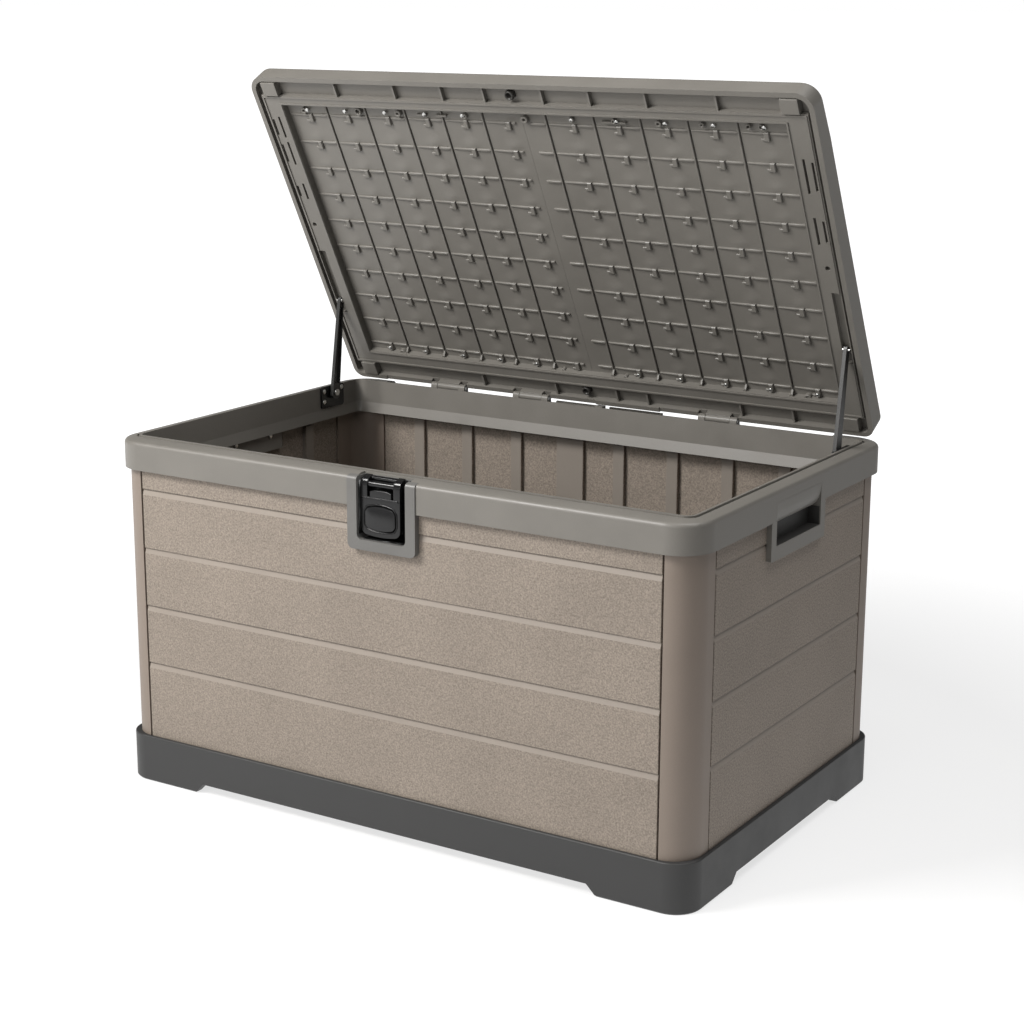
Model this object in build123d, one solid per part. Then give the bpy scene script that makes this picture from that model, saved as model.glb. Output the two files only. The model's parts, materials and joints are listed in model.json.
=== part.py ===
from build123d import *
from math import radians, cos, sin
import os

# Deck storage box, drawn with its lid open. Units mm, +Z up, +X to the right seen from the front,
# front faces -Y. Origin: middle of the footprint, on the floor.

# body of the box
half_w = 495.0          # middle to the outer face of a side panel
half_d = 312.0          # middle to the outer face of the front panel
panel_half_w = 448.5    # front and rear panels, middle to side edge
panel_half_d = 247.0    # side panels, middle to side edge
seam = 3.0              # open groove between a panel and a corner post
panel_t = 6.0
post_t = 10.0
post_r = 45.0
panel_foot = 60.0       # height of the shelf the panels stand on
panel_top = 536.0
plank_first = 196.0     # height of the lowest plank joint
plank_pitch = 92.4
plank_joints = 4
groove_w = 1.8
groove_d = 2.4
bevel_h = 9.0
strip_w = 21.0          # upright stiffening strips on the inside
strip_d = 7.0
strip_pitch = 99.5
strip_top = 488.0
rear_strip_first = -357.0
rear_wide_strip = (-78.0, -26.0)

# base tray
base_h = 75.0
base_out = 6.0
base_r = 42.0
foot_w = 9.0             # width of the ring the box stands on
arch_h = 16.0
arch_half_x = 360.0
arch_half_y = 186.0
arch_slope = 17.0

# top rim
rim_x = 503.0
rim_y = 320.0
rim_z0 = 503.0
rim_z1 = 549.0          # inner edge of the sloping top
rim_slope_w = 17.0
rim_slope_h = 3.5
rim_round = 6.5
rim_hollow = 539.5
rim_r = 52.0
open_x = 475.0
open_y = 283.5
open_mid = -2.5
wall = 3.5
bead_z = 550.5
groove_out = 7.5        # moat around the bead, from the edge of the opening
skirt_z = 511.5
recess_half = 421.0     # lowered ledge behind the lid
recess_z = 542.5

# lid, drawn closed and then swung open
lid_open = 61.8
lid_z = 552.5
lid_x = 488.6
lid_front = -300.7
lid_rear = 296.0
lid_t = 39.0
lid_r = 28.0            # front corners
lid_rear_r = 18.0
lid_front_t = 33.0      # the top falls away towards the front edge
lip_w = 8.0
skin_t = 3.0
axis_y = 296.0
axis_z = 552.5
liner_n = 14.5          # depth of the ribbed liner under the lip plane
liner_t = 2.5
rib_rows = 10
rib_row_first = 71.0
rib_row_pitch = 50.2
rib_columns = {-1: (363, 287, 212, 143, 69), 1: (43, 125, 203, 280, 359)}
clip_columns = {-1: (398, 324, 247, 172, 102), 1: (90, 166, 246, 323, 402)}
screw_rows = (534.5, 64.0)

# hinges
hinge_at = (-291.0, -125.0, 224.0)
pin_r = 2.5
barrel_r = 6.0
barrel_half = 21.5
lug_w = 12.0

# lid stays
pivot_y = 203.0
pivot_z = 540.0
stay_len = 158.0
stay_open = 97.4        # from flat along the wall, lid open
stay_x0 = 463.7
stay_x1 = 469.7
stay_half_foot = 9.6
stay_half_tip = 5.6
rivet_r = 3.0

# latch and handles
latch_x = 5.0           # the latch bezel sits a little right of the middle
latch_shift = 6.0       # the latch sits this far to the left inside its bezel
bezel_half = 58.5
bezel_z0 = 440.0
pocket_half = 42.0
pocket_z0 = 455.0
pocket_y = -299.0
grip_y = -5.0           # middle of a finger pull, front to back
grip_half = 74.0
grip_z0 = 467.0
grip_z1 = 527.0
grip_frame = 16.0
grip_frame_low = 20.0


def block(x0, x1, y0, y1, z0, z1):
    return Pos((x0 + x1) / 2, (y0 + y1) / 2, (z0 + z1) / 2) * Box(
        abs(x1 - x0), abs(y1 - y0), abs(z1 - z0)
    )


def slab(hx, hy, r, z0, z1, mid=0.0):
    return Pos(0, mid, z0) * extrude(RectangleRounded(2 * hx, 2 * hy, r), z1 - z0)


def rod_x(x0, x1, y, z, r):
    return Pos((x0 + x1) / 2, y, z) * Rot(0, 90, 0) * Cylinder(r, abs(x1 - x0))


def rod_y(x, y0, y1, z, r):
    return Pos(x, (y0 + y1) / 2, z) * Rot(90, 0, 0) * Cylinder(r, abs(y1 - y0))


def round_long(solid, axis, radius):
    return fillet(solid.edges().filter_by(axis), radius)


def swing(shape, degrees):
    """Turns a closed-lid shape about the hinge line."""
    return Pos(0, axis_y, axis_z) * Rot(-degrees, 0, 0) * Pos(0, -axis_y, -axis_z) * shape


# ---- plank panels -------------------------------------------------------------------------
def strip_places(half):
    places = []
    x = strip_pitch / 2
    while x + strip_w / 2 + 18 < half:
        places += [-x, x]
        x += strip_pitch
    return places


section = make_face(Polyline(
    (0, panel_foot),
    *[
        point
        for i in range(plank_joints)
        for point in (
            (0, plank_first + i * plank_pitch - bevel_h),
            (groove_d, plank_first + i * plank_pitch - groove_w),
            (groove_d, plank_first + i * plank_pitch),
            (0, plank_first + i * plank_pitch),
        )
    ],
    (0, panel_top),
    (panel_t, panel_top),
    (panel_t, panel_foot),
    close=True,
))


def upright_wall(half, strips, strip_height):
    """Plank wall, outer face on y = 0 facing -Y, running from x = -half to +half."""
    solid = extrude(Plane.YZ * section, 2 * half)
    solid = Pos(-half, 0, 0) * solid
    for x in strips:
        strip = block(x - strip_w / 2, x + strip_w / 2, panel_t, panel_t + strip_d,
                      panel_foot, strip_height(x))
        solid += strip
    return solid


front_strips = strip_places(panel_half_w)
rear_strips = [rear_strip_first + strip_pitch * k for k in (0, 1, 2, 4, 5, 6, 7)]
side_strips = strip_places(panel_half_d)

front_panel = Pos(0, -half_d, 0) * upright_wall(
    panel_half_w, front_strips, lambda x: 440.0 if abs(x) < 60 else strip_top
)
front_panel -= block(latch_x - 46, latch_x + 46, -half_d - 1, -half_d + panel_t + 1, 449, panel_top + 1)
rear_panel = Rot(0, 0, 180) * Pos(0, -half_d, 0) * upright_wall(
    panel_half_w, [-x for x in rear_strips], lambda x: strip_top
)
rear_panel += block(*rear_wide_strip, half_d - panel_t - strip_d, half_d - panel_t,
                    panel_foot, strip_top)
side_wall = upright_wall(
    panel_half_d, side_strips, lambda x: 452.0 if abs(x) < 100 else strip_top
)
side_wall -= block(-grip_half - 9, grip_half + 9, -1, panel_t + 1, grip_z0 - 4, panel_top + 1)
right_panel = Rot(0, 0, 90) * Pos(0, -half_w, 0) * side_wall
left_panel = Rot(0, 0, -90) * Pos(0, -half_w, 0) * side_wall


# ---- corner posts -------------------------------------------------------------------------
def corner_post(sx, sy):
    """Rounded corner column with a tongue behind each neighbouring panel."""
    outer = slab(half_w, half_d, post_r, panel_foot, rim_hollow)
    inner = slab(half_w - post_t, half_d - post_t, post_r - post_t, panel_foot - 1, 549.0)
    ring = outer - inner
    edge_x = panel_half_w + seam
    edge_y = panel_half_d + seam
    keep = block(edge_x, half_w + 1, edge_y, half_d + 1, 0, 600)
    post = ring & keep
    tongue_x = block(edge_x - 16, edge_x + 1, half_d - post_t, half_d - panel_t, panel_foot, 530)
    tongue_y = block(half_w - post_t, half_w - panel_t, edge_y - 16, edge_y + 1, panel_foot, 530)
    post = post + tongue_x + tongue_y
    if sx < 0:
        post = mirror(post, Plane.YZ)
    if sy < 0:
        post = mirror(post, Plane.XZ)
    return post


posts = {
    "front_left": corner_post(-1, -1),
    "front_right": corner_post(1, -1),
    "rear_left": corner_post(-1, 1),
    "rear_right": corner_post(1, 1),
}

# ---- base tray ----------------------------------------------------------------------------
base = slab(half_w + base_out, half_d + base_out, base_r, 0, base_h)
base = fillet(base.faces().sort_by(Axis.Z)[-1].edges(), 2.0)
base = chamfer(base.faces().sort_by(Axis.Z)[0].edges(), 2.5)
base -= slab(478, 295, 28, 20, base_h + 1)
base -= slab(half_w + 0.3, half_d + 0.3, post_r + 0.3, panel_foot, base_h + 1)
base -= slab(half_w - foot_w, half_d - foot_w, post_r - foot_w, -1, arch_h)
base -= slab(half_w - 1, half_d - 1, post_r - 1, arch_h - 1, 56) - slab(482, 299, 32, 0, 60)


def arch(half, depth):
    outline = make_face(Polyline(
        (-half, -1), (-half + arch_slope, arch_h), (half - arch_slope, arch_h), (half, -1), close=True
    ))
    return Pos(0, depth, 0) * extrude(Plane.XZ * outline, 2 * depth)


base -= arch(arch_half_x, half_d + 20)
base -= Rot(0, 0, 90) * arch(arch_half_y, half_w + 20)

# ---- top rim ------------------------------------------------------------------------------
def rim_body(grow):
    """Solid of the rim's outside: upright face, round shoulder, top sloping up inwards."""
    solid = slab(rim_x + grow, rim_y + grow, rim_r + grow, rim_z0, rim_z1)
    top = solid.faces().sort_by(Axis.Z)[-1]
    solid = chamfer(top.edges(), rim_slope_w, rim_slope_h, reference=top)
    low = rim_z1 - rim_slope_h
    return fillet(solid.edges().filter_by_position(Axis.Z, low - 0.1, low + 0.1), rim_round)


rim = rim_body(0)
rim -= slab(open_x + groove_out, open_y + groove_out, 18, rim_z1 - 2.2, 560, open_mid)
rim += slab(open_x + 4, open_y + 4, 16, rim_z1 - 3, bead_z, open_mid)
rim -= slab(rim_x - wall, rim_y - wall, rim_r - wall, rim_z0 - 1, rim_hollow) - slab(
    open_x + wall, open_y + wall, 15, rim_z0 - 2, 549, open_mid
)
skirt_out = Pos(0, open_mid, skirt_z) * RectangleRounded(2 * (open_x + wall), 2 * (open_y + wall), 15)
skirt_in = Pos(0, open_mid, skirt_z) * RectangleRounded(2 * open_x, 2 * open_y, 12)
rim -= slab(open_x + wall, open_y + wall, 15, rim_z0 - 2, skirt_z, open_mid)
rim += extrude(skirt_out, 17, dir=(0, 0, -1), taper=17.5) - extrude(
    skirt_in, 17.01, dir=(0, 0, -1), taper=17.5
)
rim -= slab(open_x, open_y, 12, skirt_z - 0.1, 560, open_mid)
# lowered ledge for the hinges
step_y = open_mid + open_y + wall + 3
rim -= block(-recess_half, recess_half, step_y, rim_y + 10, recess_z, 560)
rim -= block(-recess_half, recess_half, step_y - 6, step_y, rim_z1 + 1, 560)
rim += block(-recess_half, recess_half, step_y - 3, rim_y - 3, recess_z - 4, recess_z)
rim += block(-recess_half, recess_half, step_y - 3, step_y, recess_z - 4, rim_z1)
for side in (-1, 1):
    rim += block(side * recess_half, side * (recess_half + 3), step_y - 3, rim_y - 3,
                 recess_z - 4, recess_z + 1)
for hinge_x in hinge_at:
    for side in (-1, 1):
        x0 = hinge_x + side * (barrel_half + 0.5)
        x1 = x0 + side * lug_w
        rim += block(x0, x1, axis_y - 6.5, axis_y + 6.5, recess_z - 1, axis_z)
        rim += rod_x(x0, x1, axis_y, axis_z, 6.5)
    rim -= rod_x(hinge_x - 40, hinge_x + 40, axis_y, axis_z, pin_r + 0.03)
rim += block(0, 14, axis_y - 6, axis_y + 6, recess_z - 1, 551)
for x0, x1 in ((-84, -4), (18, 116)):
    rim += block(x0, x1, rim_y - 13, rim_y - 9, recess_z - 1, 548)
# room for the latch and the two handles
rim -= block(latch_x - bezel_half - 0.1, latch_x + bezel_half + 0.1, -rim_y - 5,
             -rim_y + wall + 4.5, 500, 560)
rim -= block(latch_x - pocket_half - 2.7, latch_x + pocket_half + 2.7, -rim_y - 5,
             pocket_y + 2.7, 490, 560)
for side in (-1, 1):
    rim -= block(side * 480, side * 520, grip_y - grip_half - 2.7, grip_y + grip_half + 2.7,
                 490, grip_z1 + 2.7)

# ---- latch bezel --------------------------------------------------------------------------
bezel_y = -rim_y - 2
bezel_out = Plane.XZ * (
    Pos(0, (bezel_z0 + 530) / 2) * RectangleRounded(2 * bezel_half, 530 - bezel_z0, 9)
)
bezel = Pos(0, -half_d, 0) * extrude(bezel_out, -half_d - bezel_y)
bezel += rim_body(2) & block(-bezel_half, bezel_half, bezel_y - 1, -rim_y + wall + 4.3, 515, 560)
bezel += block(-pocket_half - 2.5, pocket_half + 2.5, -half_d - 1, pocket_y + 2.5,
               pocket_z0 - 2.5, 546)
pocket = Plane.XZ * (
    Pos(0, (pocket_z0 + 600) / 2) * RectangleRounded(2 * pocket_half, 600 - pocket_z0, 8)
)
bezel -= Pos(0, pocket_y, 0) * extrude(pocket, pocket_y - bezel_y + 1)

# ---- handles ------------------------------------------------------------------------------
cup_x = 480.5
frame_x = rim_x


def handle_cup():
    """Right-hand finger pull: frame, recess and the sloping grip that hangs into it."""
    frame = Plane.YZ * (
        Pos(0, (grip_z0 - grip_frame_low + rim_z0) / 2)
        * RectangleRounded(2 * (grip_half + grip_frame), rim_z0 - grip_z0 + grip_frame_low, 3)
    )
    cup = Pos(half_w, 0, 0) * extrude(frame, frame_x - half_w)
    cup += block(cup_x, frame_x, -grip_half - 2.5, grip_half + 2.5, grip_z0 - 2.5, grip_z1 + 2.5)
    cup -= block(cup_x + 2.5, frame_x + 5, -grip_half, grip_half, grip_z0, grip_z1)
    grip = Plane.XZ * make_face(Polyline(
        (rim_x, grip_z1 + 1), (rim_x - 0.6, 518), (500.5, 508), (496, 500), (489, 494.5),
        (487, 497), (492.5, 502), (496.5, 509), (498.5, 518), (498.5, grip_z1 + 1), close=True
    ))
    cup += Pos(0, grip_half + 1, 0) * extrude(grip, 2 * grip_half + 2)
    return cup


def handle_screw(y):
    """Screw through the back of the cup, driven from inside the box."""
    return rod_x(cup_x - 2.2, cup_x, y, 489, 4.2) + rod_x(cup_x, cup_x + 2.4, y, 489, 2.2)


handle_right = Pos(0, grip_y, 0) * handle_cup()
for y in (grip_y - 45, grip_y + 45):
    handle_right -= rod_x(cup_x - 1, cup_x + 2.4, y, 489, 2.2)
handle_screws_right = [handle_screw(y) for y in (grip_y - 45, grip_y + 45)]
handle_screws = Compound(
    handle_screws_right + [mirror(screw, Plane.YZ) for screw in handle_screws_right]
)
handle_left = mirror(handle_right, Plane.YZ)

# ---- latch --------------------------------------------------------------------------------
latch_half = 34.0
latch_face = -314.0
rail_in = 24.0
button_half = 26.5
button_z0 = 469.0
button_z1 = 507.0
frame_back = pocket_y
latch_outline = Plane.XZ * (
    Pos(0, (460 + 551) / 2) * RectangleRounded(2 * latch_half, 551 - 460, 6)
)
latch_frame = Pos(0, latch_face + 8, 0) * extrude(latch_outline, 8)
for side in (-1, 1):
    latch_frame += block(side * 30, side * latch_half, latch_face + 7, frame_back, 468, 543)
latch_frame -= block(-rail_in, rail_in, latch_face - 1, latch_face + 9, 516, 560)
latch_frame += rod_x(-rail_in - 1, rail_in + 1, latch_face + 5, 545, 4.0)
latch_frame += block(-21, 21, latch_face + 4, latch_face + 8, 515, 531)
latch_frame -= block(-button_half - 0.6, button_half + 0.6, latch_face - 1, latch_face + 9,
                     button_z0 - 2.0, button_z1 + 0.6)
latch_frame += block(-31, 31, latch_face + 7, latch_face + 10, 508, 515.5)
for side in (-1, 1):
    latch_frame += block(side * 28, side * 31, latch_face + 7, latch_face + 14, 498, 509)
button_axis_y = latch_face + 10
button_axis_z = 503.0
latch_frame -= rod_x(-40, 40, button_axis_y, button_axis_z, 1.56)

button_outline = Plane.XZ * (
    Pos(0, (button_z0 + button_z1) / 2)
    * RectangleRounded(2 * button_half, button_z1 - button_z0, 7)
)
latch_button = Pos(0, latch_face + 6, 0) * extrude(button_outline, 5)
latch_button += block(-20, 20, latch_face + 5, button_axis_y + 3, 499, 506)
latch_button -= rod_x(-40, 40, button_axis_y, button_axis_z, 1.55)
latch_pin = rod_x(-30.9, 30.9, button_axis_y, button_axis_z, 1.5)
latch_spring = rod_y(0, latch_face + 6.2, pocket_y, 482, 4.5) - rod_y(0, latch_face, 0, 482, 3.0)

# ---- lid ----------------------------------------------------------------------------------
lid_mid = (lid_front + lid_rear) / 2
lid_y = (lid_rear - lid_front) / 2


def lid_slab(inset, z0, z1):
    """Plan of the lid set in from its edge; the rear corners are tighter than the front ones."""
    solid = block(inset - lid_x, lid_x - inset, lid_front + inset, lid_rear - inset, z0, z1)
    uprights = solid.edges().filter_by(Axis.Z)
    solid = fillet(uprights.sort_by(Axis.Y)[:2], lid_r - inset)
    return fillet(solid.edges().filter_by(Axis.Z).sort_by(Axis.Y)[-2:], lid_rear_r - inset)


fall = make_face(Polyline(
    (lid_front - 1, lid_z + lid_front_t), (lid_front + 90, lid_z + lid_t),
    (lid_front + 90, lid_z + lid_t + 9), (lid_front - 1, lid_z + lid_t + 9), close=True,
))
fall_solid = Pos(-lid_x - 1, 0, 0) * extrude(Plane.YZ * fall, 2 * lid_x + 2)
shell = lid_slab(0, lid_z, lid_z + lid_t) - fall_solid
shell = fillet(shell.edges().filter_by(lambda e: e.center().Z > lid_z + lid_front_t - 2
                                       and e.geom_type != GeomType.LINE
                                       or e.center().Z > lid_z + lid_t - 0.1
                                       and e.center().Y > lid_front + 91), 8.0)
shell -= lid_slab(lip_w, lid_z - 1, lid_z + lid_t - skin_t) - Pos(0, 0, -skin_t) * fall_solid
for hinge_x in hinge_at:
    shell -= block(hinge_x - 36, hinge_x + 36, lid_rear - lip_w - 1, lid_rear + 1,
                   lid_z - 1, lid_z + 9)
# raised stretches of the rear lip between the hinges
gaps = (
    (-recess_half, hinge_at[0] - 36),
    (hinge_at[0] + 36, hinge_at[1] - 36),
    (hinge_at[1] + 36, -1.0),
    (118.0, hinge_at[2] - 36),
)
for x0, x1 in gaps:
    shell -= block(x0, x1, lid_rear - lip_w - 1, lid_rear + 1, lid_z - 1, lid_z + 2)


def lid_y_at(along):
    """Y of a point a given distance in front of the hinge line, lid closed."""
    return axis_y - along


frame_out_x = 476.0
frame_in_x = 440.0
frame_front = 562.0
frame_front_in = 545.0
frame_rear = 33.0
frame_rear_in = 58.0
finger_slots = {-1: ((523, 484), (476, 433), (397, 367)), 1: ((490, 433), (393, 347))}
hole_along = {-1: 317, 1: 307}
frame = lid_slab(lip_w, lid_z + 12, lid_z + liner_n)
frame += block(-frame_out_x, frame_out_x, lid_y_at(frame_front), lid_y_at(frame_rear),
               lid_z + 3, lid_z + 12)
frame -= block(-frame_in_x, frame_in_x, lid_y_at(frame_front_in), lid_y_at(frame_rear_in),
               lid_z, lid_z + 20)
for side in (-1, 1):
    # slide slot of the stay, finger slots in the side border
    frame -= block(side * 460.5, side * 474.5, lid_y_at(264), lid_y_at(138), lid_z, lid_z + 11)
    for start, end in finger_slots[side]:
        frame -= block(side * 454, side * 458, lid_y_at(start), lid_y_at(end), lid_z, lid_z + 11)
        frame -= block(side * 467, side * 471, lid_y_at(start - 5), lid_y_at(end + 5),
                       lid_z, lid_z + 11)
    frame -= Pos(side * 462, lid_y_at(hole_along[side]), lid_z + 6) * Cylinder(4.0, 10)
for half_x, front_at, rear_at in ((474, 560.5, 35), (443.5, 549, 54)):
    ridge = block(-half_x, half_x, lid_y_at(front_at), lid_y_at(rear_at), lid_z + 1.4, lid_z + 3.5)
    frame += ridge - block(-half_x + 2.6, half_x - 2.6, lid_y_at(front_at - 2.6),
                           lid_y_at(rear_at + 2.6), lid_z, lid_z + 5)
for side in (-1, 1):
    frame -= block(side * 460.5, side * 474.5, lid_y_at(264), lid_y_at(138), lid_z, lid_z + 11)
front_ribs = (-326.0, -214.0, -126.0, -50.0, 52.0, 132.0, 225.0, 338.0)
rear_ribs = (-318.0, -218.0, -151.0, -74.0, 41.0, 98.0, 196.0, 265.0, 355.0)
for x in front_ribs:
    frame += block(x - 1.5, x + 1.5, lid_y_at(587), lid_y_at(561), lid_z + 4, lid_z + 12.5)
for x in rear_ribs:
    if all(abs(x - hinge_x) > 37 for hinge_x in hinge_at):
        frame += block(x - 1.5, x + 1.5, lid_y_at(34), lid_y_at(9.5), lid_z + 4, lid_z + 12.5)


def screw_x(side):
    return [side * x for x in clip_columns[side]]


def liner(side):
    """One half of the ribbed sheet that lines the lid."""
    plate = block(side * 0.15, side * (frame_in_x + 6), lid_y_at(frame_front_in + 6),
                  lid_y_at(frame_rear_in - 6), lid_z + liner_n, lid_z + liner_n + liner_t)
    for row in range(rib_rows):
        along = rib_row_first + row * rib_row_pitch
        plate += block(side * 12, side * (frame_in_x - 0.5), lid_y_at(along + 1.7),
                       lid_y_at(along - 1.7), lid_z + 8, lid_z + liner_n + 0.5)
    for x in rib_columns[side]:
        plate += block(side * (x - 1.2), side * (x + 1.2), lid_y_at(frame_front_in - 1),
                       lid_y_at(frame_rear_in + 1), lid_z + 9, lid_z + liner_n + 0.5)
    for x in screw_x(side):
        for along in screw_rows:
            y = lid_y_at(along)
            plate += Pos(x, y, lid_z + 12) * Cylinder(5.0, 6)
            plate -= Pos(x, y, lid_z + 11) * Cylinder(2.0, 7)
    return plate


def lid_hinge(hinge_x):
    leaf = block(hinge_x - barrel_half, hinge_x + barrel_half, lid_rear - lip_w, lid_rear,
                 lid_z, lid_z + 9)
    leaf += rod_x(hinge_x - barrel_half, hinge_x + barrel_half, axis_y, axis_z, barrel_r)
    leaf -= rod_x(hinge_x - 30, hinge_x + 30, axis_y, axis_z, pin_r + 0.08)
    return leaf


def boss(x, along, n0, n1, r, hole):
    y = lid_y_at(along)
    tube = Pos(x, y, lid_z + (n0 + n1) / 2) * Cylinder(r, n1 - n0)
    return tube - Pos(x, y, lid_z + (n0 + n1) / 2) * Cylinder(hole, n1 - n0 + 2)


front_boss = boss(-4, 575, 3, 12, 8, 4)
rear_boss = boss(-16, 22, 3, 12, 8, 4)
pads = Compound([
    block(sx * 438, sx * 466, lid_y_at(along + 12), lid_y_at(along - 12), lid_z - 1.7, lid_z + 12)
    for sx in (-1, 1)
    for along in (575, 21)
])


def lid_screw(x, along):
    y = lid_y_at(along)
    head = Pos(x, y, lid_z + 8) * Cylinder(3.8, 2)
    shank = Pos(x, y, lid_z + 11.75) * Cylinder(2.0, 5.5)
    return head + shank

# ---- stays --------------------------------------------------------------------------------
tip_y = pivot_y - stay_len * cos(radians(stay_open))
tip_z = pivot_z + stay_len * sin(radians(stay_open))


def stay_arm():
    """Right-hand arm, drawn upright above its pivot and then leaned back."""
    outline = make_face(Polyline(
        (-stay_half_foot, -6), (-stay_half_foot, 14), (-stay_half_tip, stay_len),
        (-3, stay_len + 5), (3, stay_len + 5), (stay_half_tip, stay_len),
        (stay_half_foot, 14), (stay_half_foot, -6), (5, -11), (-5, -11), close=True
    ))
    arm = Pos(stay_x0, 0, 0) * extrude(Plane.YZ * outline, stay_x1 - stay_x0)
    hollow = make_face(Polyline(
        (-stay_half_foot + 2.5, 16), (-stay_half_tip + 2.3, stay_len - 12),
        (stay_half_tip - 2.3, stay_len - 12), (stay_half_foot - 2.5, 16), close=True
    ))
    arm -= Pos(stay_x0 - 1, 0, 0) * extrude(Plane.YZ * hollow, 4.5)
    arm -= rod_x(stay_x0 - 2, stay_x1 + 2, 0, 0, rivet_r + 0.06)
    arm -= rod_x(stay_x0 - 2, stay_x1 + 2, 0, stay_len, 2.55)
    return Pos(0, pivot_y, pivot_z) * Rot(-(stay_open - 90), 0, 0) * arm


def stay_pin():
    pin = rod_x(stay_x0 - 1.2, stay_x1 + 3.5, 0, stay_len, 2.5)
    pin += rod_x(stay_x0 - 2.2, stay_x0 - 0.4, 0, stay_len, 3.6)
    return Pos(0, pivot_y, pivot_z) * Rot(-(stay_open - 90), 0, 0) * pin


bracket_holes = ((179, 543.5), (179, 525.5), (228, 545))


def stay_bracket():
    plate = block(471.5, open_x, 172, 234, 514, 551.5)
    plate = fillet(plate.edges().filter_by(Axis.X), 4)
    plate += rod_x(470.2, 472, pivot_y, pivot_z, 8)
    plate -= rod_x(460, 480, pivot_y, pivot_z, rivet_r)
    for y, z in bracket_holes:
        plate -= rod_x(460, 480, y, z, 2.2)
    return plate


def stay_rivet():
    rivet = rod_x(461.7, open_x, pivot_y, pivot_z, rivet_r)
    return rivet + rod_x(461.2, stay_x0 - 0.4, pivot_y, pivot_z, 5.5)


def bracket_screw(y, z):
    return rod_x(470.2, 471.5, y, z, 4.2) + rod_x(471.5, open_x, y, z, 2.2)


right = {
    "stay_arm": stay_arm(),
    "stay_pin": stay_pin(),
    "stay_bracket": stay_bracket(),
    "stay_rivet": stay_rivet(),
}
screws_right = [bracket_screw(y, z) for y, z in bracket_holes]
bracket_screws = Compound(
    screws_right + [mirror(screw, Plane.YZ) for screw in screws_right]
)

# ---- write every sub-part -----------------------------------------------------------------
parts = {
    "base_tray": base,
    "front_panel": front_panel,
    "rear_panel": rear_panel,
    "left_panel": left_panel,
    "right_panel": right_panel,
    "top_rim": rim,
    "latch_bezel": bezel,
    "latch_frame": latch_frame,
    "latch_button": latch_button,
    "latch_pin": latch_pin,
    "latch_spring": latch_spring,
    "handle_cup_right": handle_right,
    "handle_cup_left": handle_left,
    "handle_screws": handle_screws,
    "bracket_screws": bracket_screws,
    "hinge_pins": Compound([
        rod_x(x - 33.4, x + 33.4, axis_y, axis_z, pin_r) for x in hinge_at
    ]),
    "lid_shell": swing(shell, lid_open),
    "lid_frame": swing(frame, lid_open),
    "lid_liner_left": swing(liner(-1), lid_open),
    "lid_liner_right": swing(liner(1), lid_open),
    "lid_front_boss": swing(front_boss, lid_open),
    "lid_rear_boss": swing(rear_boss, lid_open),
    "lid_pads": swing(pads, lid_open),
    "lid_screws": swing(Compound([
        lid_screw(x, along) for side in (-1, 1) for x in screw_x(side) for along in screw_rows
    ]), lid_open),
}
for name, post in posts.items():
    parts["post_" + name] = post
for label, hinge_x in zip(("left", "middle", "right"), hinge_at):
    parts["lid_hinge_" + label] = swing(lid_hinge(hinge_x), lid_open)
for name, shape in right.items():
    parts[name + "_right"] = shape
    parts[name + "_left"] = mirror(shape, Plane.YZ)

for name in parts:
    if name == "latch_bezel":
        parts[name] = Pos(latch_x, 0, 0) * parts[name]
    elif name.startswith("latch"):
        parts[name] = Pos(latch_x - latch_shift, 0, 0) * parts[name]

os.makedirs("parts", exist_ok=True)
for name, shape in parts.items():
    export_step(shape, "parts/" + name + ".step")
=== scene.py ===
import json
from math import radians, cos, sin, pi

import bpy
import bmesh
from mathutils import Matrix, Vector


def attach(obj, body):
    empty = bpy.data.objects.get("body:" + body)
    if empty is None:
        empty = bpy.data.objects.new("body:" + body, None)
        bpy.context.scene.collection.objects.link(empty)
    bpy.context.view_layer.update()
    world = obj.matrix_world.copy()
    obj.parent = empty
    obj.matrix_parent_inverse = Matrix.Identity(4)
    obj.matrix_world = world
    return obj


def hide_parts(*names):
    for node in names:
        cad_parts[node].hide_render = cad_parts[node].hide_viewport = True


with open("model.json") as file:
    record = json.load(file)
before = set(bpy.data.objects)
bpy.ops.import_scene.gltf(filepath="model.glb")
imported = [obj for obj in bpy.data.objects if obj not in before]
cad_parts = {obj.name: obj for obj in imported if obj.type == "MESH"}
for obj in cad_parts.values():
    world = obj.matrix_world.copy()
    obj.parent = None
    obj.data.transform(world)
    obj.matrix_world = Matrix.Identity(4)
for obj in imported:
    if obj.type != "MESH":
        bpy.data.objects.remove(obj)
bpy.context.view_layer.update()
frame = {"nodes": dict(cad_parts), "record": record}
nodes = frame["nodes"]
body_of = {n: b for b, ns in frame["record"]["behaviour"]["bodies"].items() for n in ns}
slot_of = {row["node"]: row["material_slot"] for row in frame["record"]["subparts"]}
scene = bpy.context.scene
MM = 0.001
FADED = 0.3  # share of the floor's glow that is left beyond a fade


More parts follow.
